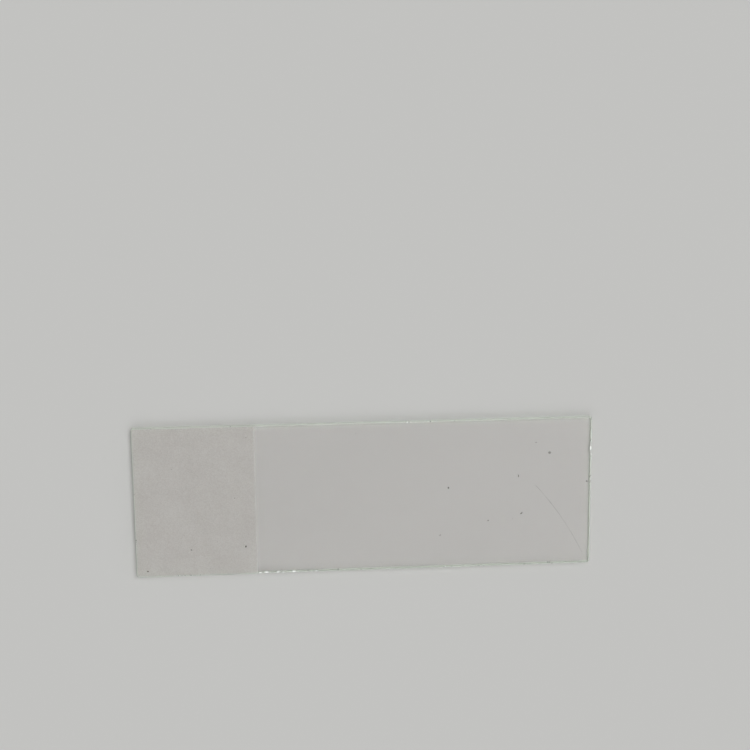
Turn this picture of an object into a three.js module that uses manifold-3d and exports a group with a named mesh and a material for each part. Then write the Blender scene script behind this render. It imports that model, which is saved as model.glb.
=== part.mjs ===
// Microscope slide: one pane of clear float glass, frosted at one end, with ground edges.
//
// Millimetres, +Z up. The slide lies flat on its plain face: long side along X, frosted end towards -X,
// frosted face up. The origin is the middle of the face that it lies on.
//
// The pane is one extruded outline whose two rims are ground to a 45-degree arris. The frosted field is a
// shallow blasted recess across one end. Handling has spalled flakes off the arrises, most of them side
// by side where the lower long edge passes the frost line. Each flake leaves a shell-shaped scar with
// the curved ribs of a conchoidal break, ribbed round the point on the arris where it was struck. Grit has
// knocked a few shallow pits into the clear face.

import * as THREE from 'three';
import { mergeVertices } from 'three/addons/utils/BufferGeometryUtils.js';
import Module from 'manifold-3d';

const wasm = await Module();
wasm.setup();

// Pane
const LENGTH = 76.2;
const WIDTH = 25.4;
const THICKNESS = 1.1;
const CORNER_RADIUS = 0.35; // corners dubbed on the wheel
const CORNER_STEPS = 6;
const ARRIS = 0.16; // leg of the 45-degree flat along every rim

// Frosted field
const FROST_LENGTH = 20; // from the end to the frost line, over the full width
const FROST_DEPTH = 0.03; // how far blasting lowers the face
const FROST_OVERRUN = 1; // how far its cutter runs past the pane

// Conchoidal breaks
const RIB_PITCH = 0.13; // from one rib of a scar to the next
const RIB_HEIGHT = 0.014; // crest to trough
const RIB_STEPS = 3; // rings of facets to one rib
const SCAR_SIDES = 20;

// Each edge has a datum that its flakes are measured from, and a direction in which they are measured.
const FROST_LINE = -LENGTH / 2 + FROST_LENGTH;
const EDGES = {
  // from the frost line towards the clear end; less than zero is beside the frosted field
  lower: { datum: [FROST_LINE, -WIDTH / 2], along: [1, 0], outward: [0, -1] },
  // from the clear end towards the frosted end
  upper: { datum: [LENGTH / 2, WIDTH / 2], along: [-1, 0], outward: [0, 1] },
  // from the upper long edge towards the lower one
  clearEnd: { datum: [LENGTH / 2, WIDTH / 2], along: [0, -1], outward: [1, 0] },
  // from the lower long edge towards the upper one
  frostedEnd: { datum: [-LENGTH / 2, -WIDTH / 2], along: [0, 1], outward: [-1, 0] },
};

// Flakes: place along the edge, span along it, reach to either side of the arris, bite below the arris,
// and lean of the scar's axis from the face's normal, in degrees. They lie on the upper face's rim
// unless they are marked under.
const FLAKES = [
  { edge: 'lower', at: -13.3, span: 0.42, reach: 0.17, bite: 0.07, lean: 31 },
  { edge: 'lower', at: -11.2, span: 0.36, reach: 0.15, bite: 0.07, lean: 58 },
  { edge: 'lower', at: -9.1, span: 0.5, reach: 0.19, bite: 0.08, lean: 27, under: true },
  { edge: 'lower', at: 0.45, span: 0.72, reach: 0.28, bite: 0.11, lean: 24 },
  { edge: 'lower', at: 1.5, span: 0.96, reach: 0.36, bite: 0.13, lean: 18 },
  { edge: 'lower', at: 2.45, span: 0.52, reach: 0.21, bite: 0.09, lean: 64 },
  { edge: 'lower', at: 3.4, span: 0.84, reach: 0.31, bite: 0.11, lean: 21 },
  { edge: 'lower', at: 4.3, span: 0.48, reach: 0.2, bite: 0.08, lean: 29 },
  { edge: 'lower', at: 6.05, span: 0.98, reach: 0.34, bite: 0.12, lean: 19 },
  { edge: 'lower', at: 7.1, span: 0.46, reach: 0.2, bite: 0.08, lean: 61 },
  { edge: 'lower', at: 8.4, span: 0.36, reach: 0.16, bite: 0.07, lean: 33 },
  { edge: 'lower', at: 9.8, span: 0.6, reach: 0.25, bite: 0.09, lean: 24 },
  { edge: 'lower', at: 31.6, span: 0.44, reach: 0.18, bite: 0.08, lean: 28 },
  { edge: 'lower', at: 34.5, span: 0.5, reach: 0.18, bite: 0.07, lean: 32, under: true },
  { edge: 'lower', at: 37.3, span: 0.4, reach: 0.17, bite: 0.08, lean: 57 },
  { edge: 'upper', at: 30.9, span: 0.62, reach: 0.24, bite: 0.1, lean: 26 },
  { edge: 'clearEnd', at: 5.3, span: 2.6, reach: 0.28, bite: 0.11, lean: 25 },
  { edge: 'clearEnd', at: 11.1, span: 0.46, reach: 0.2, bite: 0.09, lean: 59 },
  { edge: 'frostedEnd', at: 6.2, span: 0.4, reach: 0.17, bite: 0.07, lean: 34, under: true },
];

// Pits in the clear face: place from the pane's middle, as shares of half its length and half its width,
// then radius and depth.
const PITS = [
  { along: 0.8136, across: 0.5354, radius: 0.26, depth: 0.05 },
  { along: 0.6942, across: -0.2756, radius: 0.13, depth: 0.03 },
  { along: 0.979, across: 0.1339, radius: 0.1, depth: 0.03 },
  { along: 0.3688, across: 0.0984, radius: 0.07, depth: 0.02 },
  { along: 0.8346, across: -0.3071, radius: 0.06, depth: 0.02 },
  { along: 0.0577, across: -0.4803, radius: 0.06, depth: 0.02 },
  { along: -0.252, across: 0.3465, radius: 0.07, depth: 0.02 },
];
const PIT_SIDES = 12;
const PIT_RINGS = 9; // odd, so that no ring lies in the face itself

function toSolid(geometry) {
  const bare = geometry.clone();
  bare.deleteAttribute('normal');
  bare.deleteAttribute('uv');
  const merged = mergeVertices(bare, 1e-5);
  return new wasm.Manifold(
    new wasm.Mesh({
      numProp: 3,
      vertProperties: new Float32Array(merged.attributes.position.array),
      triVerts: new Uint32Array(merged.index.array),
    }),
  );
}

function toGeometry(solid) {
  const mesh = solid.getMesh();
  const geometry = new THREE.BufferGeometry();
  geometry.setAttribute('position', new THREE.BufferAttribute(mesh.vertProperties, 3));
  geometry.setIndex(new THREE.BufferAttribute(mesh.triVerts, 1));
  return geometry;
}

// The pane's outline: a rectangle whose corners are dubbed to a small radius.
function paneOutline() {
  const x = LENGTH / 2 - CORNER_RADIUS;
  const y = WIDTH / 2 - CORNER_RADIUS;
  const corners = [[x, -y], [x, y], [-x, y], [-x, -y]];
  const outline = new THREE.Shape();
  corners.forEach(([cx, cy], i) => {
    const start = (i - 1) * (Math.PI / 2);
    outline.absarc(cx, cy, CORNER_RADIUS, start, start + Math.PI / 2, false);
  });
  outline.closePath();
  return outline;
}

// The ground pane: a flat land round the rim, with an arris to each face.
function groundPane() {
  const pane = new THREE.ExtrudeGeometry(paneOutline(), {
    depth: THICKNESS - 2 * ARRIS,
    curveSegments: CORNER_STEPS,
    bevelEnabled: true,
    bevelThickness: ARRIS,
    bevelSize: ARRIS,
    bevelOffset: -ARRIS,
    bevelSegments: 1,
  });
  pane.translate(0, 0, ARRIS);
  return toSolid(pane);
}

// What blasting takes off the upper face, from the end of the pane to the frost line.
function frostCutter() {
  const length = FROST_LENGTH + FROST_OVERRUN;
  const height = FROST_DEPTH + FROST_OVERRUN;
  const cutter = new THREE.BoxGeometry(length, WIDTH + 2 * FROST_OVERRUN, height);
  cutter.translate(FROST_LINE - length / 2, 0, THICKNESS - FROST_DEPTH + height / 2);
  return toSolid(cutter);
}

// A scar's bowl about the Y axis: part of a sphere, deepest at y = -bite and as wide as 2 * reach at
// y = 0, with ribs round its deepest point, closed by a disc outside the glass.
function ribbedBowl(reach, bite) {
  const radius = (reach * reach + bite * bite) / (2 * bite);
  const centre = radius - bite;
  const rings = Math.ceil(((radius * Math.PI) / 2 / RIB_PITCH) * RIB_STEPS);
  const profile = [new THREE.Vector2(0, -bite)];
  for (let ring = 1; ring <= rings; ring += 1) {
    const angle = (ring / rings) * (Math.PI / 2);
    const wave = (1 - Math.cos((2 * Math.PI * angle * radius) / RIB_PITCH)) / 2;
    const r = radius - RIB_HEIGHT * wave;
    profile.push(new THREE.Vector2(r * Math.sin(angle), centre - r * Math.cos(angle)));
  }
  profile.push(new THREE.Vector2(0, centre));
  return new THREE.LatheGeometry(profile, SCAR_SIDES);
}

// A flake's cutter on its edge: the bowl stretched to its span, its axis through the middle of the
// arris and leaning outwards from the face.
function flakeCutter({ edge, at, span, reach, bite, lean, under = false }) {
  const { datum, along, outward } = EDGES[edge];
  const tilt = THREE.MathUtils.degToRad(lean);
  const alongEdge = new THREE.Vector3(along[0], along[1], 0);
  const outOfEdge = new THREE.Vector3(outward[0], outward[1], 0);
  const outOfFace = new THREE.Vector3(0, 0, under ? -1 : 1);
  const axis = outOfEdge.clone().multiplyScalar(Math.sin(tilt));
  axis.addScaledVector(outOfFace, Math.cos(tilt));
  const struck = new THREE.Vector3(datum[0], datum[1], under ? 0 : THICKNESS);
  struck.addScaledVector(alongEdge, at);
  struck.addScaledVector(outOfEdge, -ARRIS / 2);
  struck.addScaledVector(outOfFace, -ARRIS / 2);
  const across = new THREE.Vector3().crossVectors(alongEdge, axis);
  const cutter = ribbedBowl(reach, bite);
  cutter.scale(span / (2 * reach), 1, 1);
  cutter.applyMatrix4(new THREE.Matrix4().makeBasis(alongEdge, axis, across).setPosition(struck));
  return toSolid(cutter);
}

// A pit's cutter: a flattened ball whose middle lies in the face.
function pitCutter({ along, across, radius, depth }) {
  const cutter = new THREE.SphereGeometry(1, PIT_SIDES, PIT_RINGS);
  cutter.rotateX(Math.PI / 2);
  cutter.scale(radius, radius, depth);
  cutter.translate((along * LENGTH) / 2, (across * WIDTH) / 2, THICKNESS);
  return toSolid(cutter);
}

function slideSolid() {
  const frosted = groundPane().subtract(frostCutter());
  const broken = FLAKES.reduce((glass, flake) => glass.subtract(flakeCutter(flake)), frosted);
  return PITS.reduce((glass, pit) => glass.subtract(pitCutter(pit)), broken);
}

const clearGlass = new THREE.MeshStandardMaterial({
  color: '#c9d2ca',
  roughness: 0.06,
  metalness: 0,
  transparent: true,
  opacity: 0.4,
});

const slide = new THREE.Mesh(toGeometry(slideSolid()), clearGlass);
slide.name = 'glass_slide';

const part = new THREE.Group();
part.add(slide);

export default part;
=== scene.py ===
"""A microscope slide and the studio that it lies in.

The slide is one pane of soda-lime float glass. Its long side runs along X, the frosted end points to -X
and the frosted face is up. Everything is in metres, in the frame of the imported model, which gives the
pane's size and place. Only the tables of flakes, bruises, pits and specks are in millimetres.
"""

import logging
import math
from collections import Counter
from collections.abc import Callable
from dataclasses import dataclass, field
from enum import Enum
from functools import partial
from typing import Any

import bmesh
import bpy
from bmesh.types import BMesh, BMVert
from bpy.types import Material, Mesh, Node, NodeSocket, NodeTree, Object, World
from mathutils import Matrix, Vector, noise


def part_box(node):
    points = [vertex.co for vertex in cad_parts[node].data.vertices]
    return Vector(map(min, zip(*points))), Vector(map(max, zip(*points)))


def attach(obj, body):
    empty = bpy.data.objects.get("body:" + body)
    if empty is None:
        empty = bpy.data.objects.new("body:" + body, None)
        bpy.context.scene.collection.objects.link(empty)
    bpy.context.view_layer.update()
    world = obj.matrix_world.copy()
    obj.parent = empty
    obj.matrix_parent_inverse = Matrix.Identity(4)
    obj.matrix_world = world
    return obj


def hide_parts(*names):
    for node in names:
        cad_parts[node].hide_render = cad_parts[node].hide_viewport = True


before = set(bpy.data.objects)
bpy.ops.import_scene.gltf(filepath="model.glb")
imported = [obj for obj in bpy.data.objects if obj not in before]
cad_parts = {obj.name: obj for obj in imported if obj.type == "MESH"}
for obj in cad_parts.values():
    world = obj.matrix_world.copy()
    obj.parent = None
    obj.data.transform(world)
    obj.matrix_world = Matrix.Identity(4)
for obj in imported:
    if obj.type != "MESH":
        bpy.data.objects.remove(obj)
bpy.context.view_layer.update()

MM = 0.001
GLASS_INDEX = 1.52  # refractive index of soda-lime glass
log = logging.getLogger("slide")

# Rows of the noise that small strays on the pane are drawn from, far enough apart to be unlike
RIM_ROW = 9
RIPPLE_ROW = 5
FRAY_ROW = 3


# ---------------------------------------------------------------------------------------------------
# Small tools


def linear(hex_colour: str) -> tuple[float, float, float, float]:
    """Turn an sRGB hex colour into the linear colour that Blender's sockets take.

    Args:
        hex_colour: colour such as "#c9d2ca".

    Returns:
        Linear red, green and blue, with full alpha.
    """
    parts = [int(hex_colour[i : i + 2], 16) / 255 for i in (1, 3, 5)]
    red, green, blue = (p / 12.92 if p <= 0.04045 else ((p + 0.055) / 1.055) ** 2.4 for p in parts)
    return red, green, blue, 1.0


def add_node(tree: NodeTree, kind: str, inputs: dict[Any, Any] | None = None, **settings: Any) -> Node:
    """Add a node, make its settings and feed its inputs.

    Args:
        tree: node tree that takes the node.
        kind: Blender's type name of the node.
        inputs: for each input's name or number, its value, the socket that feeds it, or the node
            whose first output in use feeds it.
        settings: the node's own properties.

    Returns:
        The new node.
    """
    node = tree.nodes.new(kind)
    for name, value in settings.items():
        setattr(node, name, value)
    for key, value in (inputs or {}).items():
        if isinstance(value, Node):
            value = next(output for output in value.outputs if output.enabled)
        if isinstance(value, NodeSocket):
            tree.links.new(value, node.inputs[key])
        else:
            node.inputs[key].default_value = value
    return node


def new_material(name: str) -> tuple[Material, Callable[..., Node]]:
    """Make a material with an empty node tree.

    Args:
        name: the finish's common name.

    Returns:
        The material, and add_node for its tree.
    """
    material = bpy.data.materials.new(name)
    material.use_nodes = True
    material.node_tree.nodes.clear()
    return material, partial(add_node, material.node_tree)


def new_object(name: str, mesh: Mesh, materials: list[Material]) -> Object:
    """Put a mesh into the scene with its material slots.

    Args:
        name: the object's name.
        mesh: its mesh, in the frame's own coordinates.
        materials: materials in slot order.

    Returns:
        The new object, which sits unturned at the origin.
    """
    for material in materials:
        mesh.materials.append(material)
    made = bpy.data.objects.new(name, mesh)
    bpy.context.scene.collection.objects.link(made)
    return made


def from_shell(name: str, shell: BMesh, materials: list[Material]) -> Object:
    """Put a finished shell into the scene.

    Args:
        name: the object's name.
        shell: the shell, which is used up.
        materials: materials in slot order.

    Returns:
        The new object.
    """
    mesh = bpy.data.meshes.new(name)
    shell.to_mesh(mesh)
    shell.free()
    return new_object(name, mesh, materials)


def settle(made: Object) -> None:
    """Turn an object's modifiers into its plain mesh.

    Args:
        made: object whose modifiers are worked out and removed.
    """
    graph = bpy.context.evaluated_depsgraph_get()
    mesh = bpy.data.meshes.new_from_object(made.evaluated_get(graph), depsgraph=graph)
    made.modifiers.clear()
    made.data = mesh


def cut(blank: Object, cutter: Object) -> None:
    """Take one solid out of another. The cut faces keep the cutter's finish.

    Args:
        blank: solid that is cut.
        cutter: solid that is taken out of it, and thrown away.
    """
    knife = blank.modifiers.new("cut", "BOOLEAN")
    knife.operation = "DIFFERENCE"
    knife.solver = "MANIFOLD"
    knife.object = cutter
    settle(blank)
    bpy.data.objects.remove(cutter)


# ---------------------------------------------------------------------------------------------------
# Finishes


class Finish(Enum):
    """The glass's five surfaces, in the order of the slide's material slots."""

    FLOAT = 0
    BLASTED = 1
    GROUND = 2
    BROKEN = 3
    CRUSHED = 4


@dataclass(frozen=True)
class FloatGlass:
    """Float glass as it left the tin bath: two flat, bright faces that show the floor unbent.

    Attributes:
        tint: nearly white, a touch warm from the film of grease on it.
        polish: roughness of the bare face.
        smear: roughness where wiped grease lies.
        smear_pitch: width of the streaks that wiping leaves.
        smear_stretch: the streaks' width as a share of their length.
        smear_turn: the way in which the face was wiped, in degrees from the long side.
        patch: size of the patches that the grease lies in.
        scratch_from: one end of the hairline scratch.
        scratch_to: its other end.
        scratch_sag: how far the scratch bows between its ends.
        scratch_width: its width.
        scratch_dirt_and_shade: grey of the dirt held in it, darkened further as painted shade for the light
            that the scratch scatters away.
        scratch_roughness: its roughness.
        skip_pitch: distance between the places where the scratching point skipped.
    """

    tint: str = "#f8f7f6"
    polish: float = 0.01
    smear: float = 0.035
    smear_pitch: float = 1.6 * MM
    smear_stretch: float = 0.16
    smear_turn: float = 24
    patch: float = 14 * MM
    scratch_from: tuple[float, float] = (28.8 * MM, 1.1 * MM)
    scratch_to: tuple[float, float] = (36.8 * MM, -10.8 * MM)
    scratch_sag: float = 0.5 * MM
    scratch_width: float = 0.035 * MM
    scratch_dirt_and_shade: str = "#8f928c"
    scratch_roughness: float = 0.15
    skip_pitch: float = 1.1 * MM

    def material(self) -> Material:
        """Make the polished face's material.

        Returns:
            The material.
        """
        # The eye sees through it to the floor, and only its reflections show the wiped streaks.
        material, add = new_material("float_glass_bright_face")
        place = add("ShaderNodeTexCoord").outputs["Object"]
        turn, stretch = (0, 0, math.radians(self.smear_turn)), (self.smear_stretch, 1, 1)
        wiped = add("ShaderNodeMapping", {"Vector": place, "Rotation": turn, "Scale": stretch})
        scale = 1 / self.smear_pitch
        streaks = add("ShaderNodeTexNoise", {"Vector": wiped, "Scale": scale, "Detail": 3, "Roughness": 0.6})
        patches = add("ShaderNodeTexNoise", {"Vector": place, "Scale": 1 / self.patch, "Detail": 1})
        film = add("ShaderNodeMath", {0: streaks, 1: patches}, operation="MULTIPLY")
        dulled = add("ShaderNodeMapRange", {
            "Value": film, "From Min": 0.2, "From Max": 0.42,
            "To Min": self.polish, "To Max": self.smear,
        })
        scratch = self._scratch(add, place)
        tint, grime_and_shade = linear(self.tint), linear(self.scratch_dirt_and_shade)
        # The scratch is drawn grey: partly the dirt held in it, partly painted shade for the light it
        # scatters away
        colour = add("ShaderNodeMix", {"Factor": scratch, "A": tint, "B": grime_and_shade}, data_type="RGBA")
        rough = add("ShaderNodeMix", {"Factor": scratch, "A": dulled, "B": self.scratch_roughness})
        shader = add("ShaderNodeBsdfPrincipled", {
            "Base Color": colour, "Roughness": rough, "IOR": GLASS_INDEX, "Transmission Weight": 1,
        })
        add("ShaderNodeOutputMaterial", {"Surface": shader})
        return material

    def _scratch(self, add: Callable[..., Node], place: NodeSocket) -> Node:
        """Draw the hairline scratch as a stretch of a wide circle.

        Args:
            add: add_node for the material's tree.
            place: the point's place on the slide.

        Returns:
            Node that gives 1 on the scratch and 0 off it.
        """
        start, end = Vector(self.scratch_from), Vector(self.scratch_to)
        middle, half = (start + end) / 2, (end - start).length / 2
        radius = (half**2 + self.scratch_sag**2) / (2 * self.scratch_sag)
        run = (end - start).normalized()
        centre = middle + Vector((run.y, -run.x)) * (radius - self.scratch_sag)
        flat = add("ShaderNodeVectorMath", {0: place, 1: (1, 1, 0)}, operation="MULTIPLY")
        from_centre, from_middle = (
            add("ShaderNodeVectorMath", {0: flat, 1: (*point, 0)}, operation="DISTANCE")
            for point in (centre, middle)
        )
        half_width = self.scratch_width / 2
        on_circle = add("ShaderNodeMath", {0: from_centre, 1: radius, 2: half_width}, operation="COMPARE")
        between_ends = add("ShaderNodeMath", {0: from_middle, 1: half}, operation="LESS_THAN")
        on_line = add("ShaderNodeMath", {0: on_circle, 1: between_ends}, operation="MULTIPLY")
        skips = add("ShaderNodeTexNoise", {"Vector": place, "Scale": 1 / self.skip_pitch, "Detail": 3})
        pressed = add("ShaderNodeMapRange", {"Value": skips, "From Min": 0.35, "From Max": 0.6})
        return add("ShaderNodeMath", {0: on_line, 1: pressed}, operation="MULTIPLY")


@dataclass(frozen=True)
class BlastedGlass:
    """The frosted field, blasted with fine grit: a soft, even haze with a matt grain.

    Attributes:
        thin: colour where the haze is thin.
        dense: colour where the haze is dense.
        clear_share: share of the light that gets through. The haze throws the rest back.
        roughness: how widely the field scatters.
        uneven: how far the roughness strays to either side.
        grain: pitch of the grain. Real grit pits are 0.03 mm apart, too fine to show, so it is drawn
            coarser.
        cloud: pitch of the slow unevenness that the blast nozzle leaves.
        cloud_share: how strongly the clouds show beside the grain.
        relief: height of the grain.
    """

    thin: str = "#f0eeeb"
    dense: str = "#dad6d2"
    clear_share: float = 0.82
    roughness: float = 0.42
    uneven: float = 0.05
    grain: float = 0.2 * MM
    cloud: float = 4 * MM
    cloud_share: float = 0.3
    relief: float = 0.012 * MM

    def material(self) -> Material:
        """Make the frosted field's material.

        Returns:
            The material.
        """
        # A dry, greyish haze that blurs what lies behind it and mirrors nothing.
        material, add = new_material("float_glass_grit_blasted")
        place = add("ShaderNodeTexCoord").outputs["Object"]
        fine, coarse = 1 / self.grain, 1 / self.cloud
        grain = add("ShaderNodeTexNoise", {"Vector": place, "Scale": fine, "Detail": 4, "Roughness": 0.7})
        cloud = add("ShaderNodeTexNoise", {"Vector": place, "Scale": coarse, "Detail": 3, "Roughness": 0.6})
        haze = add("ShaderNodeMath", {0: cloud, 1: self.cloud_share, 2: grain}, operation="MULTIPLY_ADD")
        share = add("ShaderNodeMapRange", {"Value": haze, "From Min": 0.5, "From Max": 0.8})
        thin, dense = linear(self.thin), linear(self.dense)
        colour = add("ShaderNodeMix", {"Factor": share, "A": thin, "B": dense}, data_type="RGBA")
        least, most = self.roughness - self.uneven, self.roughness + self.uneven
        rough = add("ShaderNodeMapRange", {
            "Value": cloud, "From Min": 0.3, "From Max": 0.7, "To Min": least, "To Max": most,
        })
        bump = add("ShaderNodeBump", {"Height": grain, "Distance": self.relief})
        shader = add("ShaderNodeBsdfPrincipled", {
            "Base Color": colour, "Roughness": rough, "Normal": bump,
            "IOR": GLASS_INDEX, "Transmission Weight": self.clear_share,
        })
        add("ShaderNodeOutputMaterial", {"Surface": shader})
        return material


@dataclass(frozen=True)
class GroundGlass:
    """Edge ground on a belt: matt, pale green, with fine marks along the edge.

    Attributes:
        tint: green that the glass shows through its edge.
        clear_share: share of the light that gets through. The ground skin throws the rest back.
        roughness: how widely the ground glass scatters.
        uneven: how far the roughness strays to either side.
        mark_pitch: distance between the belt's marks.
        mark_stretch: a mark's width as a share of its length.
        relief: depth of the marks.
    """

    tint: str = "#eef4ec"
    clear_share: float = 0.78
    roughness: float = 0.88
    uneven: float = 0.12
    mark_pitch: float = 0.07 * MM
    mark_stretch: float = 0.05
    relief: float = 0.01 * MM

    def material(self) -> Material:
        """Make the ground edge's material.

        Returns:
            The material.
        """
        # A pale green line, brighter than the pane, with nothing mirrored in it.
        material, add = new_material("float_glass_belt_ground_edge")
        place = add("ShaderNodeTexCoord").outputs["Object"]
        stretch = (self.mark_stretch, self.mark_stretch, 1)
        drawn = add("ShaderNodeMapping", {"Vector": place, "Scale": stretch})
        scale = 1 / self.mark_pitch
        marks = add("ShaderNodeTexNoise", {"Vector": drawn, "Scale": scale, "Detail": 3, "Roughness": 0.6})
        least, most = self.roughness - self.uneven, self.roughness + self.uneven
        rough = add("ShaderNodeMapRange", {
            "Value": marks, "From Min": 0.3, "From Max": 0.7, "To Min": least, "To Max": most,
        })
        bump = add("ShaderNodeBump", {"Height": marks, "Distance": self.relief})
        shader = add("ShaderNodeBsdfPrincipled", {
            "Base Color": linear(self.tint), "Roughness": rough, "Normal": bump,
            "IOR": GLASS_INDEX, "Transmission Weight": self.clear_share,
        })
        add("ShaderNodeOutputMaterial", {"Surface": shader})
        return material


@dataclass(frozen=True)
class BrokenGlass:
    """Fresh conchoidal break: as bright as polish, so its curved ribs glint.

    Attributes:
        tint: nearly white, with a trace of the glass's green.
        clear_share: share of the light that gets through. Fine cracks throw the rest back.
        roughness: roughness of the fresh break.
        hackle: pitch of the fine hackle between the ribs.
        relief: height of the hackle.
    """

    tint: str = "#fbfdfa"
    clear_share: float = 0.68
    roughness: float = 0.06
    hackle: float = 0.06 * MM
    relief: float = 0.004 * MM

    def material(self) -> Material:
        """Make the material of the broken flakes' scars.

        Returns:
            The material.
        """
        # Bright glints that run along the ribs, beside the matt of the ground edge.
        material, add = new_material("float_glass_fresh_break")
        place = add("ShaderNodeTexCoord").outputs["Object"]
        hackle = add("ShaderNodeTexNoise", {"Vector": place, "Scale": 1 / self.hackle})
        bump = add("ShaderNodeBump", {"Height": hackle, "Distance": self.relief})
        shader = add("ShaderNodeBsdfPrincipled", {
            "Base Color": linear(self.tint), "Roughness": self.roughness, "Normal": bump,
            "IOR": GLASS_INDEX, "Transmission Weight": self.clear_share,
        })
        add("ShaderNodeOutputMaterial", {"Surface": shader})
        return material


@dataclass(frozen=True)
class CrushedGlass:
    """Glass crushed to powder at the point that was struck: a white, matt fleck in the scar.

    Attributes:
        colour: the powder's colour.
        roughness: its roughness.
        grain: pitch of the powder's lumps.
        relief: their height.
    """

    colour: str = "#fafcf9"
    roughness: float = 0.5
    grain: float = 0.04 * MM
    relief: float = 0.013 * MM

    def material(self) -> Material:
        """Make the material of the struck points.

        Returns:
            The material.
        """
        # The slide's whitest points, seen as a row of sparkles along the bruised rim.
        material, add = new_material("float_glass_crushed")
        place = add("ShaderNodeTexCoord").outputs["Object"]
        lumps = add("ShaderNodeTexVoronoi", {"Vector": place, "Scale": 1 / self.grain})
        bump = add("ShaderNodeBump", {"Height": lumps, "Distance": self.relief})
        shader = add("ShaderNodeBsdfPrincipled", {
            "Base Color": linear(self.colour), "Roughness": self.roughness, "Normal": bump,
        })
        add("ShaderNodeOutputMaterial", {"Surface": shader})
        return material


@dataclass(frozen=True)
class Grit:
    """Specks of dust and glass grit: dull and dark, so each shows as a point.

    Attributes:
        dark: colour of mineral grit.
        light: colour of paler dust.
        roughness: roughness of both.
        sort_pitch: distance over which one sort gives way to the other.
    """

    dark: str = "#3b3733"
    light: str = "#8d8982"
    roughness: float = 0.85
    sort_pitch: float = 0.8 * MM

    def material(self) -> Material:
        """Make the dust's material.

        Returns:
            The material.
        """
        # Dull grey-brown points, the darkest on the pale glass.
        material, add = new_material("mineral_dust_matt")
        place = add("ShaderNodeTexCoord").outputs["Object"]
        sorts = add("ShaderNodeTexNoise", {"Vector": place, "Scale": 1 / self.sort_pitch})
        share = add("ShaderNodeMapRange", {"Value": sorts, "From Min": 0.35, "From Max": 0.65})
        dark, light = linear(self.dark), linear(self.light)
        colour = add("ShaderNodeMix", {"Factor": share, "A": dark, "B": light}, data_type="RGBA")
        shader = add("ShaderNodeBsdfPrincipled", {"Base Color": colour, "Roughness": self.roughness})
        add("ShaderNodeOutputMaterial", {"Surface": shader})
        return material


@dataclass(frozen=True)
class MattBoard:
    """The studio's floor: plain matt board.

    Attributes:
        colour: its colour.
        roughness: its roughness.
        shine: strength of its reflection.
    """

    colour: str = "#c2c2c0"
    roughness: float = 0.95
    shine: float = 0.1

    def material(self) -> Material:
        """Make the floor's material.

        Returns:
            The material.
        """
        # An even pale grey that takes soft shadows and mirrors nothing.
        material, add = new_material("matt_board")
        shader = add("ShaderNodeBsdfPrincipled", {
            "Base Color": linear(self.colour), "Roughness": self.roughness, "Specular IOR Level": self.shine,
        })
        add("ShaderNodeOutputMaterial", {"Surface": shader})
        return material


# ---------------------------------------------------------------------------------------------------
# The pane


class Edge(Enum):
    """The pane's edges: which way each faces, and which way its flakes are measured along it."""

    LOWER = ((0, -1), (1, 0))
    UPPER = ((0, 1), (-1, 0))
    CLEAR_END = ((1, 0), (0, -1))
    FROSTED_END = ((-1, 0), (0, 1))

    @property
    def outward(self) -> Vector:
        """The way that the edge faces."""
        return Vector((*self.value[0], 0))

    @property
    def along(self) -> Vector:
        """The way in which the edge's flakes are measured."""
        return Vector((*self.value[1], 0))


@dataclass(frozen=True)
class RimPoint:
    """One point of the pane's outline.

    Attributes:
        place: its place in plan.
        outward: the way that the edge faces there.
    """

    place: Vector
    outward: Vector


def skin(shell: BMesh, loops: list[list[BMVert]], sides: Finish, ends: Finish) -> None:
    """Join a row of closed loops by bands of faces, and close both ends.

    Args:
        shell: mesh that takes the faces.
        loops: the loops in order, all with the same number of points.
        sides: finish of the bands.
        ends: finish of the two ends.
    """
    for near, far in zip(loops, loops[1:]):
        for i in range(len(near)):
            j = (i + 1) % len(near)
            shell.faces.new((near[i], near[j], far[j], far[i])).material_index = sides.value
    for end in (loops[0][::-1], loops[-1]):
        shell.faces.new(end).material_index = ends.value


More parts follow.
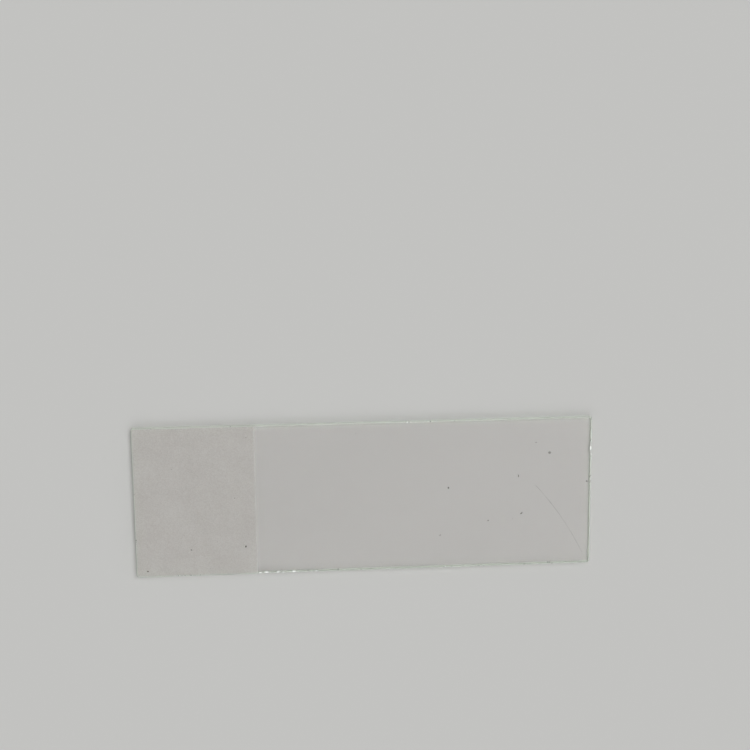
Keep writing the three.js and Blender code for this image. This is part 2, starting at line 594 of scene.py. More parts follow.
@dataclass
class Pane:
    """The blank: a pane cut to size, its edge ground flat and both rims broken to an arris.

    Attributes:
        length: its size along X.
        width: its size along Y.
        thickness: its size along Z.
        corner_radius: how far the corners are dubbed.
        arris: leg of the 45-degree arris.
        wander: how far hand grinding lets the arris wander from its leg.
        wander_pitch: distance over which it wanders.
        ripple: size of the finer ripple on the wander, as a share of it.
        ripple_finer: how many times finer the ripple is.
        step: distance between points of the outline.
        corner_steps: steps round a corner.
    """

    length: float
    width: float
    thickness: float
    corner_radius: float = 0.35 * MM
    arris: float = 0.16 * MM
    wander: float = 0.035 * MM
    wander_pitch: float = 2.6 * MM
    ripple: float = 0.4
    ripple_finer: int = 5
    step: float = 0.4 * MM
    corner_steps: int = 10

    def outline(self) -> list[RimPoint]:
        """Walk round the outline, counter-clockwise from above.

        Returns:
            The outline's points, dense enough for the arris to wander.
        """
        points: list[RimPoint] = []
        half_x, half_y = self.length / 2 - self.corner_radius, self.width / 2 - self.corner_radius
        corners = [Vector((half_x * x, half_y * y, 0)) for x, y in ((1, -1), (1, 1), (-1, 1), (-1, -1))]
        for i, centre in enumerate(corners):
            for j in range(self.corner_steps + 1):
                angle = (i - 1 + j / self.corner_steps) * math.pi / 2
                outward = Vector((math.cos(angle), math.sin(angle), 0))
                points.append(RimPoint(centre + outward * self.corner_radius, outward))
            last = points[-1]
            run = corners[(i + 1) % len(corners)] - centre
            steps = round(run.length / self.step)
            points += [RimPoint(last.place + run * (j / steps), last.outward) for j in range(1, steps)]
        return points

    def leg(self, place: Vector, rim: int) -> float:
        """The arris's leg at a point of the outline, which wanders as hand grinding does.

        Args:
            place: the point.
            rim: 0 for the lower rim and 1 for the upper one.

        Returns:
            The leg's length.
        """
        row = RIM_ROW * rim
        slow = noise.noise(place / self.wander_pitch + Vector((0, 0, row)))
        quick_place = place / (self.wander_pitch / self.ripple_finer)
        quick = noise.noise(quick_place + Vector((0, 0, RIPPLE_ROW + row)))
        return self.arris + self.wander * (slow + self.ripple * quick)

    def blank(self, materials: list[Material]) -> Object:
        """Build the ground pane.

        Args:
            materials: the slide's finishes.

        Returns:
            The pane before it is frosted and broken.
        """
        shell = bmesh.new()
        loops: list[list[BMVert]] = [[], [], [], []]
        for point in self.outline():
            low, high = self.leg(point.place, 0), self.leg(point.place, 1)
            rows = ((low, 0), (0, low), (0, self.thickness - high), (high, self.thickness))
            for loop, (inset, height) in zip(loops, rows):
                loop.append(shell.verts.new(point.place - point.outward * inset + Vector((0, 0, height))))
        skin(shell, loops, Finish.GROUND, Finish.FLOAT)
        return from_shell("glass_pane", shell, materials)


@dataclass
class FrostedField:
    """What blasting takes off the upper face, up to the frost line.

    Attributes:
        pane: the pane that is blasted.
        length: from the pane's end to the frost line.
        depth: how far the face is lowered.
        slope: width of the slope at the frost line.
        fray: how far the frost line strays where grit crept under the mask.
        fray_pitch: distance over which it strays.
        fray_steps: points of the line to that distance.
        overrun: how far the cutter runs past the pane.
    """

    pane: Pane
    length: float = 20 * MM
    depth: float = 0.03 * MM
    slope: float = 0.08 * MM
    fray: float = 0.03 * MM
    fray_pitch: float = 0.5 * MM
    fray_steps: int = 2
    overrun: float = 1 * MM

    @property
    def line(self) -> float:
        """The frost line's place along X."""
        return self.length - self.pane.length / 2

    def cutter(self, materials: list[Material]) -> Object:
        """Build the solid that is taken off the face.

        Args:
            materials: the slide's finishes.

        Returns:
            The cutter, in the blasted finish.
        """
        top, roof = self.pane.thickness, self.pane.thickness + self.overrun
        floor = top - self.depth
        end = -self.pane.length / 2 - self.overrun
        over = self.slope * self.overrun / self.depth
        half = self.pane.width / 2 + self.overrun
        steps = round(2 * half / self.fray_pitch * self.fray_steps)
        shell = bmesh.new()
        loops = []
        for i in range(steps + 1):
            y = half * (2 * i / steps - 1)
            stray = self.fray * noise.noise(Vector((y / self.fray_pitch, 0, FRAY_ROW)))
            foot = self.line - self.slope + stray
            section = ((end, floor), (foot, floor), (foot + self.slope + over, roof), (end, roof))
            loops.append([shell.verts.new((x, y, z)) for x, z in section])
        skin(shell, loops, Finish.BLASTED, Finish.BLASTED)
        bmesh.ops.recalc_face_normals(shell, faces=shell.faces)
        return from_shell("frost_cutter", shell, materials)


# ---------------------------------------------------------------------------------------------------
# What handling broke


@dataclass(frozen=True)
class Flake:
    """A flake spalled off a rim.

    Attributes:
        edge: the edge that it came off.
        at: its place along the edge, from the edge's datum.
        span: its size along the edge.
        reach: how far it reaches to either side of the arris.
        bite: how deep its scar goes below the arris.
        lean: lean of the scar's axis from the face's normal, in degrees.
        under: whether it came off the lower rim.
        crush: size of the crushed point, as a share of the scar's reach.
    """

    edge: Edge
    at: float
    span: float
    reach: float
    bite: float
    lean: float
    under: bool = False
    crush: float = 0.5


# Edge, place along it, span, reach, bite and lean.
FLAKES = (
    Flake(Edge.LOWER, -13.3, 0.42, 0.17, 0.07, 31),
    Flake(Edge.LOWER, -11.2, 0.36, 0.15, 0.07, 58),
    Flake(Edge.LOWER, -9.1, 0.5, 0.19, 0.08, 27, under=True),
    Flake(Edge.LOWER, 0.45, 0.72, 0.28, 0.11, 24),
    Flake(Edge.LOWER, 1.5, 0.96, 0.36, 0.13, 18),
    Flake(Edge.LOWER, 2.45, 0.52, 0.21, 0.09, 64),
    Flake(Edge.LOWER, 3.4, 0.84, 0.31, 0.11, 21),
    Flake(Edge.LOWER, 4.3, 0.48, 0.2, 0.08, 29),
    Flake(Edge.LOWER, 6.05, 0.98, 0.34, 0.12, 19),
    Flake(Edge.LOWER, 7.1, 0.46, 0.2, 0.08, 61),
    Flake(Edge.LOWER, 8.4, 0.36, 0.16, 0.07, 33),
    Flake(Edge.LOWER, 9.8, 0.6, 0.25, 0.09, 24),
    Flake(Edge.LOWER, 31.6, 0.44, 0.18, 0.08, 28),
    Flake(Edge.LOWER, 34.5, 0.5, 0.18, 0.07, 32, under=True),
    Flake(Edge.LOWER, 37.3, 0.4, 0.17, 0.08, 57),
    Flake(Edge.UPPER, 30.9, 0.62, 0.24, 0.1, 26),
    Flake(Edge.CLEAR_END, 5.3, 2.6, 0.28, 0.11, 25, crush=0.2),
    Flake(Edge.CLEAR_END, 11.1, 0.46, 0.2, 0.09, 59),
    Flake(Edge.FROSTED_END, 6.2, 0.4, 0.17, 0.07, 34, under=True),
)


@dataclass
class FlakeScars:
    """The scars that spalled flakes leave: shells with ribs round the point that was struck.

    Attributes:
        pane: the pane that they are in.
        frost_line: datum of the lower edge's flakes.
        flakes: the flakes, in millimetres.
        rib_pitch: from one rib to the next.
        rib_height: crest to trough.
        rib_steps: rings of facets to one rib.
        sides: facets round a scar.
        stray: how far a scar's outline strays from its round, as a share.
        stray_waves: how often it strays on the way round.
        rib_stray: how far the ribs' pitch strays with the outline, as a share.
        ragged: how far the crushed point's outline strays, as a share.
        clot: size of the powder's clots along that outline, in rib pitches.
    """

    pane: Pane
    frost_line: float
    flakes: tuple[Flake, ...] = FLAKES
    rib_pitch: float = 0.11 * MM
    rib_height: float = 0.014 * MM
    rib_steps: int = 5
    sides: int = 40
    stray: float = 0.12
    stray_waves: float = 1.3
    rib_stray: float = 0.2
    ragged: float = 0.9
    clot: float = 0.7

    def datum(self, edge: Edge) -> Vector:
        """The point that an edge's flakes are measured from.

        Args:
            edge: the edge.

        Returns:
            The datum, in plan.
        """
        half = Vector((self.pane.length / 2, self.pane.width / 2, 0))
        if edge is Edge.LOWER:
            return Vector((self.frost_line, -half.y, 0))
        return -half if edge is Edge.FROSTED_END else half

    def bowl(self, shell: BMesh, flake: Flake, seed: int) -> None:
        """Add one flake's cutter: a ribbed bowl whose axis leans out from the face.

        Args:
            shell: mesh of all cutters.
            flake: the flake.
            seed: number that tells its outline from the others'.
        """
        reach, bite = flake.reach * MM, flake.bite * MM
        radius = (reach**2 + bite**2) / (2 * bite)
        centre = radius - bite
        rings = math.ceil(radius * math.pi / 2 / self.rib_pitch * self.rib_steps)
        placing = self._placing(flake)
        stretch = flake.span * MM / (2 * reach)
        loops = []
        for ring in range(1, rings + 1):
            angle = ring / rings * math.pi / 2
            loop = []
            for side in range(self.sides):
                turn = side / self.sides * 2 * math.pi
                drift = noise.noise(Vector((math.cos(turn), math.sin(turn), seed)) * self.stray_waves)
                phase = angle * radius / self.rib_pitch * (1 + self.rib_stray * drift)
                wave = (1 - math.cos(2 * math.pi * phase)) / 2
                r = radius - self.rib_height * wave
                wide = r * math.sin(angle) * (1 + self.stray * drift)
                x, z = wide * math.cos(turn) * stretch, wide * math.sin(turn)
                loop.append(shell.verts.new(placing @ Vector((x, centre - r * math.cos(angle), z))))
            loops.append(loop)
        foot = shell.verts.new(placing @ Vector((0, -bite, 0)))
        crushed = flake.crush * reach / (radius * math.pi / 2) * rings
        for i in range(self.sides):
            j = (i + 1) % self.sides
            shell.faces.new((foot, loops[0][i], loops[0][j])).material_index = Finish.CRUSHED.value
            for ring, (inner, outer) in enumerate(zip(loops, loops[1:])):
                face = shell.faces.new((inner[i], outer[i], outer[j], inner[j]))
                clots = noise.noise(face.calc_center_median() / (self.clot * self.rib_pitch))
                powdered = ring < crushed * (1 + self.ragged * clots)
                face.material_index = (Finish.CRUSHED if powdered else Finish.BROKEN).value
        shell.faces.new(loops[-1]).material_index = Finish.BROKEN.value

    def _placing(self, flake: Flake) -> Matrix:
        """Where a flake's cutter goes.

        Args:
            flake: the flake.

        Returns:
            Matrix whose Y axis is the scar's axis and whose origin is the point that was struck.
        """
        outward, along = flake.edge.outward, flake.edge.along
        out_of_face = Vector((0, 0, -1 if flake.under else 1))
        tilt = math.radians(flake.lean)
        axis = outward * math.sin(tilt) + out_of_face * math.cos(tilt)
        struck = self.datum(flake.edge) + along * flake.at * MM
        struck.z = 0 if flake.under else self.pane.thickness
        struck -= (outward + out_of_face) * self.pane.arris / 2
        across = along.cross(axis)
        return Matrix.Translation(struck) @ Matrix((along, axis, across)).transposed().to_4x4()

    def cutter(self, materials: list[Material]) -> Object:
        """Build all flakes' cutters as one object.

        Args:
            materials: the slide's finishes.

        Returns:
            The cutters, in the finishes of a fresh break and of crushed glass.
        """
        shell = bmesh.new()
        for seed, flake in enumerate(self.flakes):
            self.bowl(shell, flake, seed)
        bmesh.ops.recalc_face_normals(shell, faces=shell.faces)
        return from_shell("flake_cutters", shell, materials)


class Growth:
    """Geometry Nodes tree with named inputs, run once on a starting mesh.

    Attributes:
        tree: the node tree.
        values: the tree's inputs, by socket identifier.
        add: add_node for the tree.
        inputs: the sockets that give its inputs inside the tree.
    """

    def __init__(self, name: str, sizes: dict[str, float]) -> None:
        """Start the tree.

        Args:
            name: the tree's name.
            sizes: the tree's named inputs and their values.
        """
        self.tree = bpy.data.node_groups.new(name, "GeometryNodeTree")
        sockets = self.tree.interface
        sockets.new_socket("Start", in_out="INPUT", socket_type="NodeSocketGeometry")
        self.values: dict[str, float] = {}
        for label, size in sizes.items():
            kind = "NodeSocketInt" if isinstance(size, int) else "NodeSocketFloat"
            socket = sockets.new_socket(label, in_out="INPUT", socket_type=kind)
            self.values[socket.identifier] = size
        sockets.new_socket("Grown", in_out="OUTPUT", socket_type="NodeSocketGeometry")
        self.add = partial(add_node, self.tree)
        self.inputs = self.add("NodeGroupInput").outputs

    def finish(self, grown: Node, material: Material) -> None:
        """End the tree in real, dressed geometry.

        Args:
            grown: node that gives the instances.
            material: their finish.
        """
        real = self.add("GeometryNodeRealizeInstances", {"Geometry": grown})
        dressed = self.add("GeometryNodeSetMaterial", {"Geometry": real, "Material": material})
        self.add("NodeGroupOutput", {"Grown": dressed})

    def run(self, start: Object) -> None:
        """Grow the tree on an object and keep the result as the object's plain mesh.

        Args:
            start: object with the starting mesh.
        """
        modifier = start.modifiers.new(self.tree.name, "NODES")
        modifier.node_group = self.tree
        for identifier, value in self.values.items():
            modifier[identifier] = value
        settle(start)
        slots = start.data.materials
        for i in reversed(range(len(slots))):
            if slots[i] is None:
                slots.pop(index=i)


@dataclass(frozen=True)
class Bruise:
    """A stretch of rim that was knocked.

    Attributes:
        edge: its edge.
        start: where it starts, in millimetres from the edge's datum.
        end: where it ends.
        share: share of its length that is nibbled.
    """

    edge: Edge
    start: float
    end: float
    share: float


# Edge, start, end and share.
BRUISES = (
    Bruise(Edge.LOWER, -14.2, -8.6, 0.35),
    Bruise(Edge.LOWER, -0.2, 10.6, 0.8),
    Bruise(Edge.LOWER, 13.0, 19.0, 0.12),
    Bruise(Edge.LOWER, 30.8, 38.2, 0.4),
    Bruise(Edge.LOWER, 45.0, 56.0, 0.45),
    Bruise(Edge.UPPER, 29.6, 32.0, 0.6),
    Bruise(Edge.CLEAR_END, 0.3, 3.0, 0.3),
    Bruise(Edge.CLEAR_END, 3.6, 7.0, 0.6),
    Bruise(Edge.CLEAR_END, 10.2, 12.0, 0.6),
    Bruise(Edge.FROSTED_END, 5.0, 8.0, 0.4),
)


@dataclass
class RimNibbles:
    """The fine nibbles that handling leaves along a bruised rim.

    Attributes:
        scars: the flake scars, whose datums the bruises are measured from.
        bruises: the bruised stretches.
        elsewhere: share of the other rim that is nibbled.
        under_share: how bruised the lower rim is beside the upper one.
        spacing: from one place for a nibble to the next.
        smallest: radius of the smallest nibble.
        largest: radius of the largest.
        fineness: power that makes small nibbles the more common ones.
        squat: a nibble's least proportions.
        long: its greatest ones.
        division: how finely its ball is divided, where 1 gives 20 facets.
        lift: how far a nibble's middle stands off the arris, as a share of its radius.
        seed: seed of the random draws.
    """

    scars: FlakeScars
    bruises: tuple[Bruise, ...] = BRUISES
    elsewhere: float = 0.01
    under_share: float = 0.35
    spacing: float = 0.16 * MM
    smallest: float = 0.035 * MM
    largest: float = 0.15 * MM
    fineness: float = 2.2
    squat: tuple[float, float, float] = (0.8, 0.8, 0.8)
    long: tuple[float, float, float] = (1.5, 1.1, 1.1)
    division: int = 2
    lift: float = 0.55
    seed: int = 7

    def share(self, place: Vector) -> float:
        """How much of the rim is nibbled at a point.

        Args:
            place: the point, on the outline.

        Returns:
            Share from 0 to 1.
        """
        share = self.elsewhere
        for bruise in self.bruises:
            offset = place - self.scars.datum(bruise.edge)
            at = offset.dot(bruise.edge.along) / MM
            near = abs(offset.dot(bruise.edge.outward)) < self.scars.pane.corner_radius
            if near and bruise.start < at < bruise.end:
                share = max(share, bruise.share)
        return share

    def rims(self) -> Object:
        """Draw both rims as closed lines that carry how bruised they are and which way is out.

        Returns:
            The lines, through the middle of each arris.
        """
        pane = self.scars.pane
        outline = pane.outline()
        count = len(outline)
        places, shares, ways = [], [], []
        for height, up, bruised in ((pane.thickness, 1, 1.0), (0, -1, self.under_share)):
            for point in outline:
                out = point.outward + Vector((0, 0, up))
                places.append(point.place + Vector((0, 0, height)) - out * pane.arris / 2)
                shares.append(self.share(point.place) * bruised)
                ways.extend(out.normalized())
        edges = [(base + i, base + (i + 1) % count) for base in (0, count) for i in range(count)]
        mesh = bpy.data.meshes.new("rims")
        mesh.from_pydata(places, edges, [])
        mesh.attributes.new("share", "FLOAT", "POINT").data.foreach_set("value", shares)
        mesh.attributes.new("way", "FLOAT_VECTOR", "POINT").data.foreach_set("vector", ways)
        return new_object("rim_nibbles", mesh, [])

    def cutter(self, materials: list[Material]) -> Object:
        """Set a small rough ball at each nibble.

        Args:
            materials: the slide's finishes.

        Returns:
            All balls as one cutter, in the finish of a fresh break.
        """
        growth = Growth("rim_nibbles", {
            "Spacing": self.spacing, "Smallest": self.smallest, "Largest": self.largest,
            "Lift": self.lift, "Seed": self.seed,
        })
        add, given = growth.add, growth.inputs
        share = add("GeometryNodeInputNamedAttribute", {"Name": "share"})
        way = add("GeometryNodeInputNamedAttribute", {"Name": "way"}, data_type="FLOAT_VECTOR")

        # Places along both rims, kept by chance where the rim is bruised
        line = add("GeometryNodeMeshToCurve", {"Mesh": given["Start"]})
        evenly = {"Curve": line, "Length": given["Spacing"]}
        spaced = add("GeometryNodeResampleCurve", evenly, mode="LENGTH")
        points = add("GeometryNodeCurveToPoints", {"Curve": spaced}, mode="EVALUATED")
        chance = add("FunctionNodeRandomValue", {"Seed": given["Seed"]})
        whole = add("FunctionNodeCompare", {"A": chance, "B": share}, operation="GREATER_THAN")
        struck = add("GeometryNodeDeleteGeometry", {"Geometry": points, "Selection": whole})

        # A radius for each, mostly small. The ball's middle stands off the arris by a share of it
        draw = add("FunctionNodeRandomValue", {"Seed": add("ShaderNodeMath", {0: given["Seed"], 1: 1})})
        skewed = add("ShaderNodeMath", {0: draw, 1: self.fineness}, operation="POWER")
        limits = {"To Min": given["Smallest"], "To Max": given["Largest"]}
        radius = add("ShaderNodeMapRange", {"Value": skewed, **limits})
        lift = add("ShaderNodeMath", {0: radius, 1: given["Lift"]}, operation="MULTIPLY")
        out = add("ShaderNodeVectorMath", {0: way, "Scale": lift}, operation="SCALE")
        lifted = add("GeometryNodeSetPosition", {"Geometry": struck, "Offset": out})

        # A ball on each, turned and stretched at random
        ball = add("GeometryNodeMeshIcoSphere", {"Radius": 1, "Subdivisions": self.division})
        any_turn = {"Min": (0, 0, 0), "Max": (math.tau, math.tau, math.tau), "Seed": given["Seed"]}
        turn = add("FunctionNodeRandomValue", any_turn, data_type="FLOAT_VECTOR")
        any_shape = {"Min": self.squat, "Max": self.long, "Seed": given["Seed"]}
        shape = add("FunctionNodeRandomValue", any_shape, data_type="FLOAT_VECTOR")
        scale = add("ShaderNodeVectorMath", {0: shape, "Scale": radius}, operation="SCALE")
        placing = {"Points": lifted, "Rotation": turn, "Scale": scale}
        balls = add("GeometryNodeInstanceOnPoints", {"Instance": ball, **placing})
        joined = add("GeometryNodeMeshBoolean", {"Mesh 2": balls}, operation="UNION", solver="MANIFOLD")
        growth.finish(joined, materials[Finish.BROKEN.value])
        nibbles = self.rims()
        growth.run(nibbles)
        return nibbles


@dataclass(frozen=True)
class Pit:
    """A shallow pit that grit knocked into the clear face.

    Attributes:
        x: its place along the slide, in millimetres from the middle.
        y: its place across the slide.
        radius: its radius.
        depth: how deep it goes.
    """

    x: float
    y: float
    radius: float
    depth: float


# Place along and across the slide, radius and depth.
PITS = (
    Pit(31.0, 6.8, 0.26, 0.05),
    Pit(26.45, -3.5, 0.13, 0.03),
    Pit(37.3, 1.7, 0.1, 0.03),
    Pit(14.05, 1.25, 0.07, 0.02),
    Pit(31.8, -3.9, 0.06, 0.02),
    Pit(2.2, -6.1, 0.06, 0.02),
    Pit(-9.6, 4.4, 0.07, 0.02),
)


@dataclass
class FacePits:
    """The pits in the clear face.

    Attributes:
        top: height of the face.
        pits: the pits, in millimetres.
        stray: how far a pit's outline strays from its round, as a share.
        stray_waves: how often it strays on the way round.
        division: how finely a pit's ball is divided, where 1 gives 20 facets.
    """

    top: float
    pits: tuple[Pit, ...] = PITS
    stray: float = 0.35
    stray_waves: float = 1.7
    division: int = 3

    def cutter(self, materials: list[Material]) -> Object:
        """Build all pits' cutters as one object.

        Args:
            materials: the slide's finishes.

        Returns:
            The cutters, in the finish of a fresh break.
        """
        shell = bmesh.new()
        for pit in self.pits:
            made = bmesh.ops.create_icosphere(shell, subdivisions=self.division, radius=1)
            for vert in made["verts"]:
                drift = noise.noise(vert.co * self.stray_waves + Vector((pit.x, pit.y, 0)))
                x, y, z = vert.co * (1 + self.stray * drift)
                vert.co = Vector((x * pit.radius, y * pit.radius, z * pit.depth)) * MM
                vert.co += Vector((pit.x * MM, pit.y * MM, self.top))
        for face in shell.faces:
            face.material_index = Finish.BROKEN.value
        return from_shell("pit_cutters", shell, materials)


# ---------------------------------------------------------------------------------------------------
# Dust


@dataclass(frozen=True)
class Speck:
    """A speck of dirt that shows by itself.

    Attributes:
        x: its place along the slide, in millimetres from the middle.
        y: its place across the slide.
        radius: its radius.
        stretch: how many times longer than wide it is.
        turn: the way in which it is longer, in degrees from the long side.
    """

    x: float
    y: float
    radius: float
    stretch: float = 1.3
    turn: float = 0


# Place along and across the slide, radius, stretch and turn.
SPECKS = (
    Speck(31.0, 6.75, 0.16, 1.2),
    Speck(25.8, 2.9, 0.075, 3.6, 84),
    Speck(26.3, -3.65, 0.12, 1.4, 30),
    Speck(37.4, 1.65, 0.12, 1.3),
    Speck(28.7, 8.6, 0.085),
    Speck(20.7, -4.7, 0.09, 1.5, 60),
    Speck(14.0, 1.2, 0.13, 1.3, 100),
    Speck(12.6, -7.0, 0.07, 2.6, 40),
    Speck(-29.0, -8.2, 0.08),
    Speck(-19.95, -7.9, 0.12, 1.5, 70),
    Speck(-36.3, -11.7, 0.12),
)


@dataclass
class Dust:
    """Dust on the upper face: the specks that show by themselves, and a scatter of finer ones.

    Attributes:
        pane: the pane that it lies on.
        frosting: the frosted field, whose face lies lower.
        specks: the specks that show by themselves, in millimetres.
        scatter: finer specks to a square metre.
        finest: radius of the finest speck.
        coarsest: radius of the coarsest of the scatter.
        fineness: power that makes fine specks the more common ones.
        stretch: how many times longer than wide the scatter's specks are.
        height: how high each speck stands.
        division: how finely a speck is divided, where 1 gives 20 facets.
        margin: how far the scatter keeps from the rim.
        seed: seed of the random draws.
    """

    pane: Pane
    frosting: FrostedField
    specks: tuple[Speck, ...] = SPECKS
    scatter: float = 26000.0
    finest: float = 0.02 * MM
    coarsest: float = 0.05 * MM
    fineness: float = 3.0
    stretch: float = 1.5
    height: float = 0.02 * MM
    division: int = 2
    margin: float = 0.8 * MM
    seed: int = 11

    def _face_height(self, x: float) -> float:
        """Height of the face at a place along the slide."""
        return self.pane.thickness - (self.frosting.depth if x < self.frosting.line else 0)

    def ground(self) -> Object:
        """Lay out where dust may lie.

        Returns:
            A sheet over each part of the face, and a loose point for each speck that shows by itself.
        """
        half_x, half_y = self.pane.length / 2 - self.margin, self.pane.width / 2 - self.margin
        line = self.frosting.line
        places, faces = [], []
        for start, end in ((-half_x, line - self.margin), (line + self.margin, half_x)):
            corners = ((start, -half_y), (end, -half_y), (end, half_y), (start, half_y))
            faces.append(range(len(places), len(places) + len(corners)))
            places += [(x, y, self._face_height(x)) for x, y in corners]
        scales, turns = [0.0, 0.0, 0.0] * len(places), [0.0] * len(places)
        for speck in self.specks:
            places.append((speck.x * MM, speck.y * MM, self._face_height(speck.x * MM)))
            scales += (speck.radius * MM * speck.stretch, speck.radius * MM, self.height)
            turns.append(math.radians(speck.turn))
        mesh = bpy.data.meshes.new("dust")
        mesh.from_pydata(places, [], faces)
        mesh.attributes.new("scale", "FLOAT_VECTOR", "POINT").data.foreach_set("vector", scales)
        mesh.attributes.new("turn", "FLOAT", "POINT").data.foreach_set("value", turns)
        return new_object("dust_specks", mesh, [])

    def build(self) -> Object:
        """Scatter the dust and dress it.

        Returns:
            The finished piece.
        """
        growth = Growth("dust_scatter", {
            "Scatter": self.scatter, "Finest": self.finest, "Coarsest": self.coarsest,
            "Height": self.height, "Seed": self.seed,
        })
        add, given = growth.add, growth.inputs
        scale = add("GeometryNodeInputNamedAttribute", {"Name": "scale"}, data_type="FLOAT_VECTOR")
        turn = add("GeometryNodeInputNamedAttribute", {"Name": "turn"})

        # The scatter, with a size and a turn drawn for each speck
        spread = {"Mesh": given["Start"], "Density": given["Scatter"], "Seed": given["Seed"]}
        scattered = add("GeometryNodeDistributePointsOnFaces", spread)
        draw = add("FunctionNodeRandomValue", {"Seed": given["Seed"]})
        skewed = add("ShaderNodeMath", {0: draw, 1: self.fineness}, operation="POWER")
        limits = {"To Min": given["Finest"], "To Max": given["Coarsest"]}
        radius = add("ShaderNodeMapRange", {"Value": skewed, **limits})
        longer = add("ShaderNodeMath", {0: radius, 1: self.stretch}, operation="MULTIPLY")
        any_scale = add("ShaderNodeCombineXYZ", {"X": longer, "Y": radius, "Z": given["Height"]})
        any_turn = add("FunctionNodeRandomValue", {"Max": math.tau, "Seed": given["Seed"]})
        for name, kind, value in (("scale", "FLOAT_VECTOR", any_scale), ("turn", "FLOAT", any_turn)):
            stored = {"Geometry": scattered, "Name": name, "Value": value}
            scattered = add("GeometryNodeStoreNamedAttribute", stored, data_type=kind)

        # The specks that show by themselves: the loose points, which alone come with a size
        size = add("ShaderNodeVectorMath", {0: scale}, operation="LENGTH")
        sized = add("FunctionNodeCompare", {"A": size, "B": 0}, operation="GREATER_THAN")
        shown = add("GeometryNodeMeshToPoints", {"Mesh": given["Start"], "Selection": sized})
        points = add("GeometryNodeJoinGeometry")
        for source in (scattered, shown):
            growth.tree.links.new(source.outputs[0], points.inputs[0])

        # A flat ball on each
        ball = add("GeometryNodeMeshIcoSphere", {"Radius": 1, "Subdivisions": self.division})
        flat_turn = add("ShaderNodeCombineXYZ", {"Z": turn})
        placing = {"Points": points, "Rotation": flat_turn, "Scale": scale}
        grains = add("GeometryNodeInstanceOnPoints", {"Instance": ball, **placing})
        growth.finish(grains, Grit().material())
        dust = self.ground()
        growth.run(dust)
        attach(dust, "root")
        return dust


# ---------------------------------------------------------------------------------------------------
# The slide


@dataclass
class Slide:
    """The whole slide: a pane, frosted at one end, with its broken rims.

    Attributes:
        node: the CAD node that it stands for.
        sharp: angle past which an edge stays sharp, in degrees.
        sliver: distance below which two points that the cuts left are made one.
        most_corners: most corners that a face keeps. One with more is made triangles.
        pane: the pane.
        frosting: its frosted field.
    """

    node: str = "glass_slide"
    sharp: float = 28.0
    sliver: float = 0.0001 * MM
    most_corners: int = 4
    pane: Pane = field(init=False)
    frosting: FrostedField = field(init=False)

    def __post_init__(self) -> None:
        """Take the pane's size from the frame."""
        lowest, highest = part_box(self.node)
        size = highest - lowest
        self.pane = Pane(size.x, size.y, size.z)
        self.frosting = FrostedField(self.pane)

    def build(self) -> Object:
        """Build and dress the slide.

        Returns:
            The finished piece.
        """
        finishes = (FloatGlass(), BlastedGlass(), GroundGlass(), BrokenGlass(), CrushedGlass())
        materials = [finish.material() for finish in finishes]
        scars = FlakeScars(self.pane, self.frosting.line)
        slide = self.pane.blank(materials)
        for maker in (self.frosting, scars, RimNibbles(scars), FacePits(self.pane.thickness)):
            cut(slide, maker.cutter(materials))
        self._close_skin(slide.data)
        slide.name = "glass_slide_body"
        slide.data.set_sharp_from_angle(angle=math.radians(self.sharp))
        for face in slide.data.polygons:
            face.use_smooth = face.material_index >= Finish.GROUND.value
        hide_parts(self.node)
        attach(slide, "root")
        return slide

    def _close_skin(self, mesh: Mesh) -> None:
        """Clean up where cuts crossed, so that the glass is one closed skin of plain faces.

        Points a hair apart become one, and many-sided faces become triangles. Where that lays two
        triangles back to back on the same corners, both go.

        Args:
            mesh: the slide's mesh.
        """
        shell = bmesh.new()
        shell.from_mesh(mesh)
        bmesh.ops.remove_doubles(shell, verts=shell.verts, dist=self.sliver)
        many_sided = [face for face in shell.faces if len(face.verts) > self.most_corners]
        bmesh.ops.triangulate(shell, faces=many_sided)
        users = Counter(frozenset(face.verts) for face in shell.faces)
        doubled = [face for face in shell.faces if users[frozenset(face.verts)] > 1]
        bmesh.ops.delete(shell, geom=doubled, context="FACES")
        shell.to_mesh(mesh)
        shell.free()


# ---------------------------------------------------------------------------------------------------
# The studio


@dataclass(frozen=True)
class FarWindow:
    """A broad soft lamp, so far off that it lights the whole floor alike.

    Attributes:
        name: its name.
        way: the way to it from the slide.
        spread: how wide it looks, in degrees.
        share: how much of a white floor's full brightness it gives.
    """

    name: str
    way: tuple[float, float, float]
    spread: float
    share: float

    def hang(self) -> None:
        """Hang the lamp."""
        way = Vector(self.way).normalized()
        lamp = bpy.data.lights.new(self.name, "SUN")
        lamp.angle = math.radians(self.spread)
        lamp.energy = self.share * math.pi / way.z
        made = bpy.data.objects.new(self.name, lamp)
        made.location = way
        made.rotation_euler = (-way).to_track_quat("-Z", "Y").to_euler()
        bpy.context.scene.collection.objects.link(made)


@dataclass(frozen=True)
class Glow:
    """A bright side of the room's ceiling, which fades out with no edge.

    Attributes:
        way: the way to its middle.
        gain: how much brighter its middle is than the rest of the ceiling.
        fade: cosines from its middle between which it fades in.
    """

    way: tuple[float, float, float]
    gain: float
    fade: tuple[float, float]


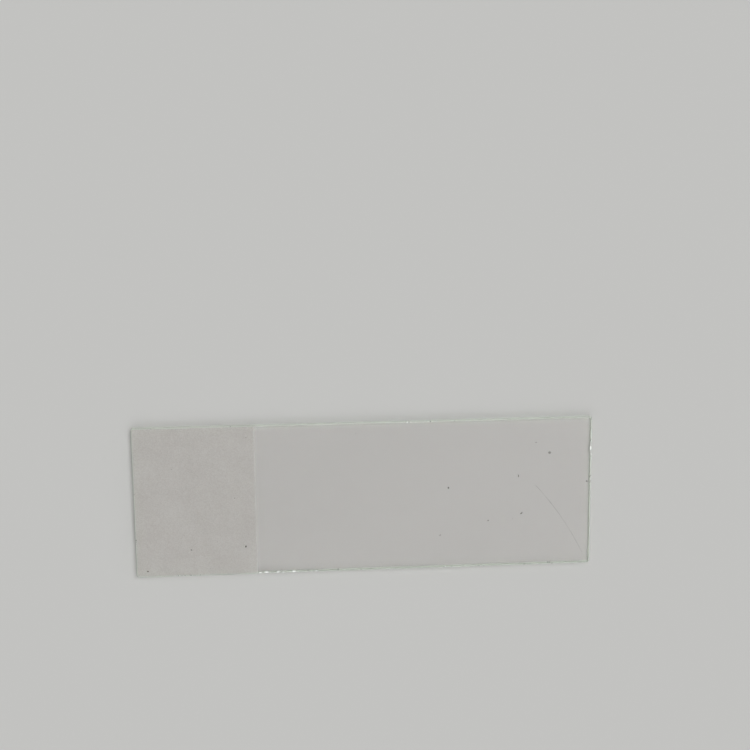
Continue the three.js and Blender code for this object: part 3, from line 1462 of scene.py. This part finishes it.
@dataclass(frozen=True)
class Room:
    """A pale room whose wall is as bright as the far floor, so no line shows where they meet.

    Attributes:
        colour: its colour.
        wall: the wall's share of full brightness.
        ceiling: the ceiling's share.
        glows: the ceiling's bright sides: one by the clear end, and one that lights the near edge.
        height_range: heights on a unit dome between which the wall turns to ceiling.
    """

    colour: str = "#ffffff"
    wall: float = 0.54
    ceiling: float = 0.15
    glows: tuple[Glow, ...] = (
        Glow(way=(0.75, -0.25, 0.6), gain=0.6, fade=(0.45, 0.9)),
        Glow(way=(-0.15, -0.85, 0.62), gain=1.6, fade=(0.78, 0.99)),
    )
    height_range: tuple[float, float] = (0.05, 0.7)

    def build(self) -> World:
        """Build the room's light.

        Returns:
            The world that gives it.
        """
        world = bpy.data.worlds.new("room")
        world.use_nodes = True
        world.node_tree.nodes.clear()
        add = partial(add_node, world.node_tree)
        way = add("ShaderNodeTexCoord").outputs["Generated"]
        spans = [(add("ShaderNodeSeparateXYZ", {0: way}).outputs["Z"], self.height_range)]
        for glow in self.glows:
            middle = Vector(glow.way).normalized()
            nearness = add("ShaderNodeVectorMath", {0: way, 1: middle}, operation="DOT_PRODUCT")
            spans.append((nearness, glow.fade))
        rise, *fades = (
            add(
                "ShaderNodeMapRange", {"Value": value, "From Min": start, "From Max": end},
                interpolation_type="SMOOTHSTEP",
            )
            for value, (start, end) in spans
        )
        ceiling: Any = self.ceiling
        for glow, fade in zip(self.glows, fades):
            ceiling = add("ShaderNodeMath", {0: fade, 1: glow.gain, 2: ceiling}, operation="MULTIPLY_ADD")
        strength = add("ShaderNodeMix", {"Factor": rise, "A": self.wall, "B": ceiling})
        light = add("ShaderNodeBackground", {"Color": linear(self.colour), "Strength": strength})
        add("ShaderNodeOutputWorld", {"Surface": light})
        return world


@dataclass
class Studio:
    """A pale floor, a pale room, a soft lamp and the camera.

    Attributes:
        length: the slide's length, which the studio is sized by.
        board: the floor's finish.
        floor_gap: how far the floor lies below the slide.
        floor_reach: the floor's radius, in slide lengths.
        floor_sides: sides of its round.
        lens: the camera's focal length, in millimetres on a sensor 36 mm wide.
        camera_place: the camera's place, in slide lengths.
        camera_aim: the point of the floor that it looks at, in slide lengths.
        camera_roll: its roll, in degrees.
        camera_range: the nearest and farthest that it sees, in slide lengths.
        light_paths: bounces that light may take, enough for it to leave the glass through an edge.
        room: the room round the floor.
        key: the lamp.
    """

    length: float
    board: MattBoard = MattBoard()
    floor_gap: float = 0.02 * MM
    floor_reach: float = 40
    floor_sides: int = 96
    lens: float = 67.2
    camera_place: tuple[float, float, float] = (-0.180, 0.862, 2.956)
    camera_aim: tuple[float, float, float] = (0.026, 0.269, 0)
    camera_roll: float = -0.6
    camera_range: tuple[float, float] = (0.1, 100)
    light_paths: int = 32
    room: Room = Room()
    key: FarWindow = FarWindow(name="key_window", way=(2.6, 3.2, 6.5), spread=36, share=0.446)

    def build(self) -> None:
        """Build the floor, the light and the camera."""
        self._floor()
        self.key.hang()
        self._camera()
        scene = bpy.context.scene
        scene.world = self.room.build()
        scene.view_settings.view_transform = "Standard"
        # Edges and scars are lit through the glass, and turn black when that light is blurred or cut off.
        scene.cycles.blur_glossy = 0.0
        scene.cycles.max_bounces = self.light_paths
        scene.cycles.glossy_bounces = self.light_paths
        scene.cycles.transmission_bounces = self.light_paths

    def _floor(self) -> None:
        """Lay the floor, a wide disc of board."""
        shell = bmesh.new()
        reach = self.floor_reach * self.length
        bmesh.ops.create_circle(shell, cap_ends=True, radius=reach, segments=self.floor_sides)
        bmesh.ops.translate(shell, verts=shell.verts, vec=(0, 0, -self.floor_gap))
        from_shell("floor", shell, [self.board.material()])

    def _camera(self) -> None:
        """Set up the camera, which looks down at the slide with the long side level."""
        camera = bpy.data.cameras.new("camera")
        camera.lens = self.lens
        camera.clip_start, camera.clip_end = (reach * self.length for reach in self.camera_range)
        made = bpy.data.objects.new("camera", camera)
        place, aim = Vector(self.camera_place) * self.length, Vector(self.camera_aim) * self.length
        ahead = (aim - place).normalized()
        right = ahead.cross(Vector((0, 1, 0))).normalized()
        up = right.cross(ahead)
        turn = Matrix((right, up, -ahead)).transposed().to_4x4()
        roll = Matrix.Rotation(math.radians(self.camera_roll), 4, "Z")
        made.matrix_world = Matrix.Translation(place) @ turn @ roll
        bpy.context.scene.collection.objects.link(made)
        bpy.context.scene.camera = made


def main() -> None:
    """Build the slide and its studio, and report each piece."""
    logging.basicConfig(level=logging.INFO, format="%(message)s")
    slide = Slide()
    for piece in (slide.build(), Dust(slide.pane, slide.frosting).build()):
        log.info("%s: %d faces", piece.name, len(piece.data.polygons))
    Studio(slide.pane.length).build()


if __name__ == "__main__":
    main()
